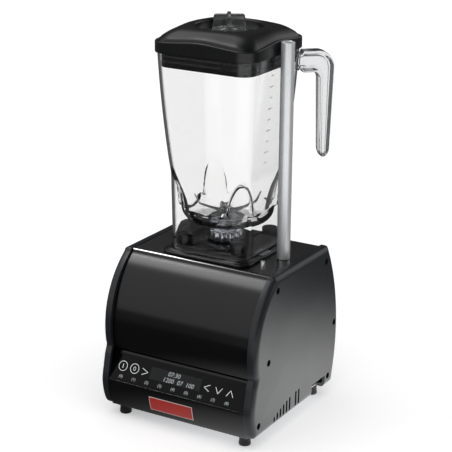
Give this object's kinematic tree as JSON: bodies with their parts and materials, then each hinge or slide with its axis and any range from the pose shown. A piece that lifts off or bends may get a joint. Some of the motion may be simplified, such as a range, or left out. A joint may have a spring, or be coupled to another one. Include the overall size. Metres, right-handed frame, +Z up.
{
  "type": "bar blender",
  "caption": "Bar blender: black motor base with curved sheet front and touch panel, clear square jug with open handle, soft black lid with winged plug, and a sensor post beside the jug",
  "frame": {"origin": "on the floor under the centre of the overall footprint", "axes": "+Z up; the front with the touch panel faces -Y; the sensor post is on +X"},
  "size_m": [0.216, 0.2206, 0.4915],
  "materials": {
    "black_sheet": "satin powder coat over folded steel",
    "black_moulding": "fine moulded grain",
    "panel_overlay": "glossy printed overlay",
    "display_glass": "polished display window",
    "circuit_board": "coated board",
    "red_badge": "glossy enamel on a thin plate",
    "black_rubber": "soft satin rubber",
    "satin_aluminium": "satin anodised, drawn tube",
    "zinc_steel": "zinc plated",
    "spring_steel": "bright ground steel",
    "laminations": "stacked electrical steel, lacquered",
    "copper_winding": "enamelled copper",
    "cast_aluminium": "die cast, as cast",
    "carbon": "pressed carbon",
    "black_nylon": "moulded nylon",
    "stainless_steel": "polished stainless steel",
    "chromed_nut": "bright chrome",
    "clear_jug": "clear moulded copolyester",
    "clear_plug": "clear moulded plastic"
  },
  "bodies": {
    "base": {"housing_wrap": "black_sheet", "lower_front": "black_sheet", "rear_panel": "black_sheet", "cord_gland": "black_rubber", "base_plate": "zinc_steel", "side_cover_left": "black_moulding", "side_cover_right": "black_moulding", "side_screw_left_1": "zinc_steel", "side_screw_left_2": "zinc_steel", "side_screw_left_3": "zinc_steel", "side_screw_left_4": "zinc_steel", "side_screw_left_5": "zinc_steel", "side_screw_left_6": "zinc_steel", "side_screw_right_1": "zinc_steel", "side_screw_right_2": "zinc_steel", "side_screw_right_3": "zinc_steel", "side_screw_right_4": "zinc_steel", "side_screw_right_5": "zinc_steel", "side_screw_right_6": "zinc_steel", "end_plate_left": "zinc_steel", "end_plate_right": "zinc_steel", "foot_front_left": "black_rubber", "foot_front_right": "black_rubber", "foot_back_right": "black_rubber", "foot_back_left": "black_rubber", "control_overlay": "panel_overlay", "display_module": "display_glass", "control_board": "circuit_board", "badge_plate": "red_badge", "centring_pad": "black_rubber", "sensor_post": "satin_aluminium", "post_nut": "zinc_steel", "pin_spring": "spring_steel", "motor_stator": "laminations", "field_winding": "copper_winding", "upper_bracket": "cast_aluminium", "lower_bracket": "cast_aluminium", "upper_bearing": "spring_steel", "lower_bearing": "spring_steel", "brush_left": "carbon", "brush_right": "carbon"},
    "motor_rotor": {"motor_shaft": "stainless_steel", "armature": "laminations", "commutator": "copper_winding", "cooling_fan": "black_nylon", "drive_socket": "black_nylon"},
    "jug": {"jug": "clear_jug", "jug_handle": "clear_jug", "bearing_housing": "stainless_steel", "shaft_seal": "black_rubber", "blade_bearing": "spring_steel", "retaining_nut": "chromed_nut"},
    "blade_set": {"blade_shaft": "stainless_steel", "blade_upper": "stainless_steel", "blade_lower": "stainless_steel", "blade_nut": "stainless_steel", "driven_coupling": "zinc_steel"},
    "lid": {"lid": "black_rubber"},
    "plug": {"lid_plug": "clear_plug"},
    "plunger": {"interlock_pin": "stainless_steel"}
  },
  "joints": [
    {"name": "motor_spin", "type": "hinge", "parent": "base", "child": "motor_rotor", "pos_m": [0, 0.0118, 0.12], "axis": [0, 0, 1], "continuous": true},
    {"name": "jug_lift", "type": "slide", "parent": "base", "child": "jug", "axis": [0, 0, 1], "range_m": [0, 0.1]},
    {"name": "blade_spin", "type": "hinge", "parent": "jug", "child": "blade_set", "pos_m": [0, 0.0118, 0.23], "axis": [0, 0, 1], "continuous": true},
    {"name": "lid_lift", "type": "slide", "parent": "jug", "child": "lid", "axis": [0, 0, 1], "range_m": [0, 0.05]},
    {"name": "plug_lift", "type": "slide", "parent": "lid", "child": "plug", "axis": [0, 0, 1], "range_m": [0, 0.04]},
    {"name": "pin_press", "type": "slide", "parent": "base", "child": "plunger", "axis": [0, 0, -1], "range_m": [0, 0.005], "stiffness_N_per_m": 400, "springref_m": -0.003, "deforming": ["pin_spring"]}
  ],
  "couplings": [
    {"joint": "blade_spin", "follows": "motor_spin", "ratio": 1}
  ]
}
